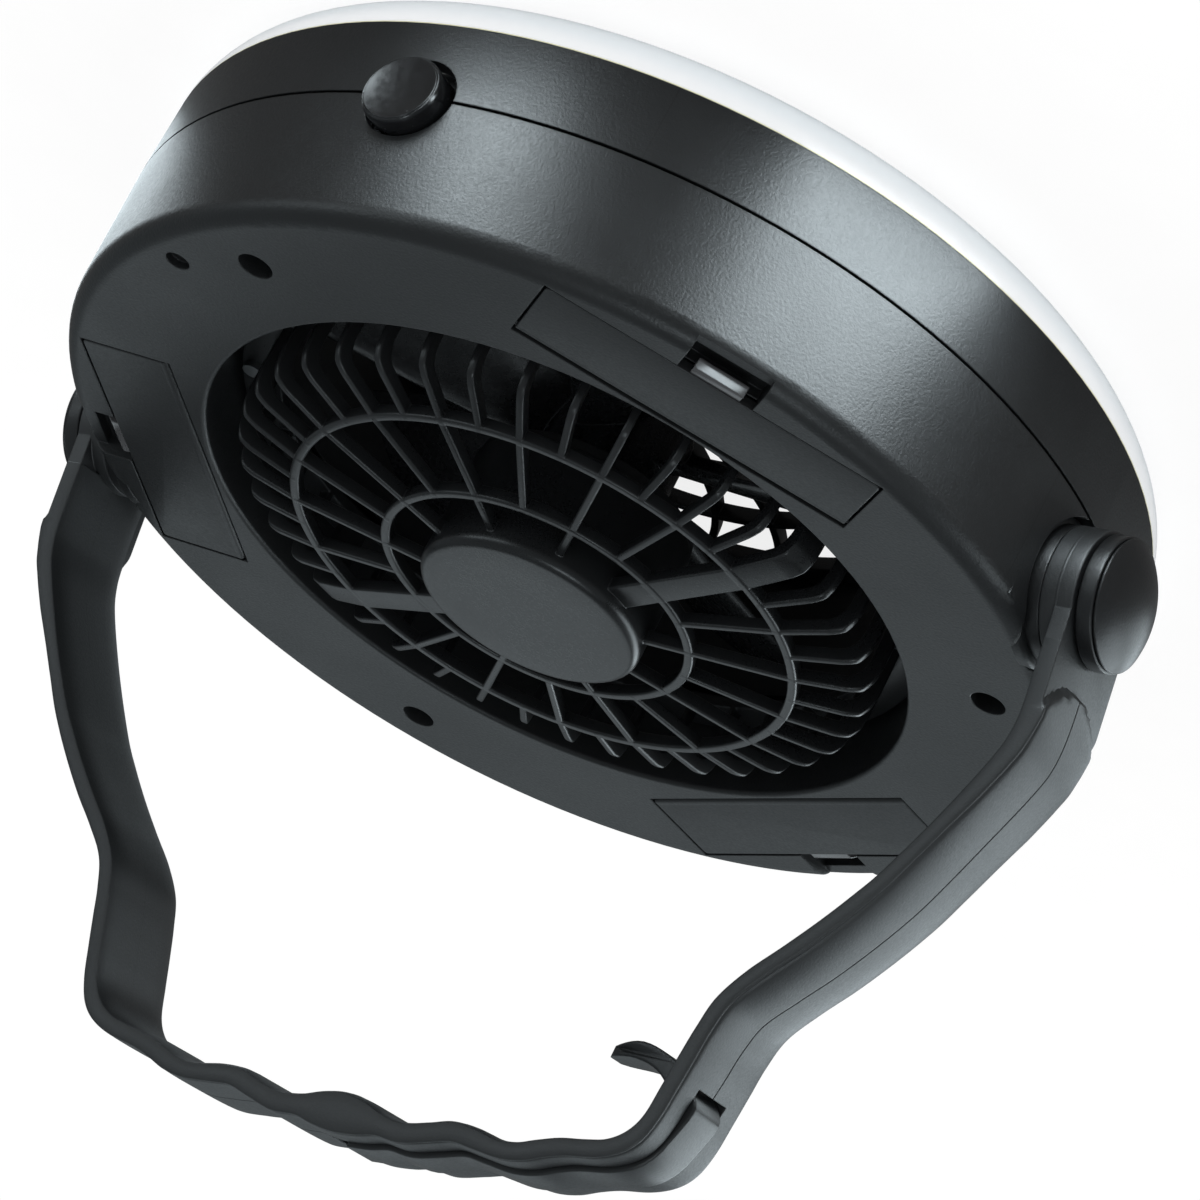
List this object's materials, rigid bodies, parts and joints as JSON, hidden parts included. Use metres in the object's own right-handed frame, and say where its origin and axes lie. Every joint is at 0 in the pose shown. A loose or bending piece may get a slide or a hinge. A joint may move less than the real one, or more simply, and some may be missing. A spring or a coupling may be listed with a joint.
{
  "type": "portable camping fan",
  "caption": "Round battery camping fan with a lamp ring on its front, a domed rear grille, hinged battery doors, a power button and a tilting carry handle with a fold-out hook.",
  "frame": {"origin": "on the fan axis, in the plane of the front lamp lens that the fan lies on", "axes": "+Z along the fan axis from the front lens to the back face; +X along the handle pivots, towards the side that the hook lies on; +Y towards the power button"},
  "size_m": [0.2032, 0.1814, 0.1431],
  "materials": {
    "shell_black": "fine spark grain, satin black",
    "bezel_black": "fine spark grain, satin black",
    "door_black": "fine grain with polished latch tabs",
    "lens_milky": "milky, slightly bluish, satin",
    "grille_black": "satin moulded black",
    "rotor_black": "semi-gloss moulded black",
    "handle_black": "fine grain, satin black",
    "knob_black": "smooth satin black",
    "button_black": "smooth dished face, satin",
    "washer_black": "dull",
    "steel": "plain bright metal",
    "clamp_plastic": "moulded black",
    "board": "white solder mask",
    "chip": "yellow phosphor over white body",
    "switch_plastic": "moulded",
    "cell_skin": "plain shrink sleeve"
  },
  "bodies": {
    "base": {"rear_housing": "shell_black", "front_housing": "bezel_black", "diffuser": "lens_milky", "led_board": "board", "led_chips": "chip", "front_grille": "grille_black", "rear_grille": "grille_black", "grille_screws": "steel", "motor_case": "steel", "motor_clamp": "clamp_plastic", "clamp_screws": "steel", "battery_cell_1": "cell_skin", "battery_cell_2": "cell_skin", "battery_cell_3": "cell_skin", "contact_plates": "steel", "battery_springs": "steel", "housing_screws": "steel", "power_switch": "switch_plastic", "control_board": "board", "friction_washers": "washer_black", "pivot_bushings": "knob_black", "knob_caps": "knob_black", "pivot_screws": "steel"},
    "rotor": {"fan_rotor": "rotor_black", "motor_shaft": "steel"},
    "button": {"power_button": "button_black", "switch_plunger": "switch_plastic"},
    "handle": {"handle": "handle_black", "hook_pin": "steel"},
    "hook": {"hook": "handle_black"},
    "door_1": {"battery_door_1": "door_black"},
    "door_2": {"battery_door_2": "door_black"},
    "door_3": {"battery_door_3": "door_black"}
  },
  "joints": [
    {"name": "fan_spin", "type": "hinge", "parent": "base", "child": "rotor", "pos_m": [0, 0, 0.03], "axis": [0, 0, 1], "continuous": true},
    {"name": "handle_tilt", "type": "hinge", "parent": "base", "child": "handle", "pos_m": [0, 0, 0.035], "axis": [1, 0, 0], "range_deg": [-104.75, 75.25]},
    {"name": "hook_swing", "type": "hinge", "parent": "handle", "child": "hook", "pos_m": [0, -0.02696, 0.13741], "axis": [0, -0.967, -0.2546], "range_deg": [0, 90]},
    {"name": "button_press", "type": "slide", "parent": "base", "child": "button", "axis": [0, -1, 0], "range_m": [0, 0.001], "stiffness_N_per_m": 600, "springref_m": -0.002},
    {"name": "door_1_hinge", "type": "hinge", "parent": "base", "child": "door_1", "pos_m": [0.04316, 0.04793, 0.0461], "axis": [0.7431, -0.6691, 0], "range_deg": [0, 80]},
    {"name": "door_2_hinge", "type": "hinge", "parent": "base", "child": "door_2", "pos_m": [-0.06309, 0.01341, 0.0461], "axis": [0.2079, 0.9781, 0], "range_deg": [0, 80]},
    {"name": "door_3_hinge", "type": "hinge", "parent": "base", "child": "door_3", "pos_m": [0.01993, -0.06134, 0.0461], "axis": [-0.9511, -0.309, 0], "range_deg": [0, 80]}
  ]
}
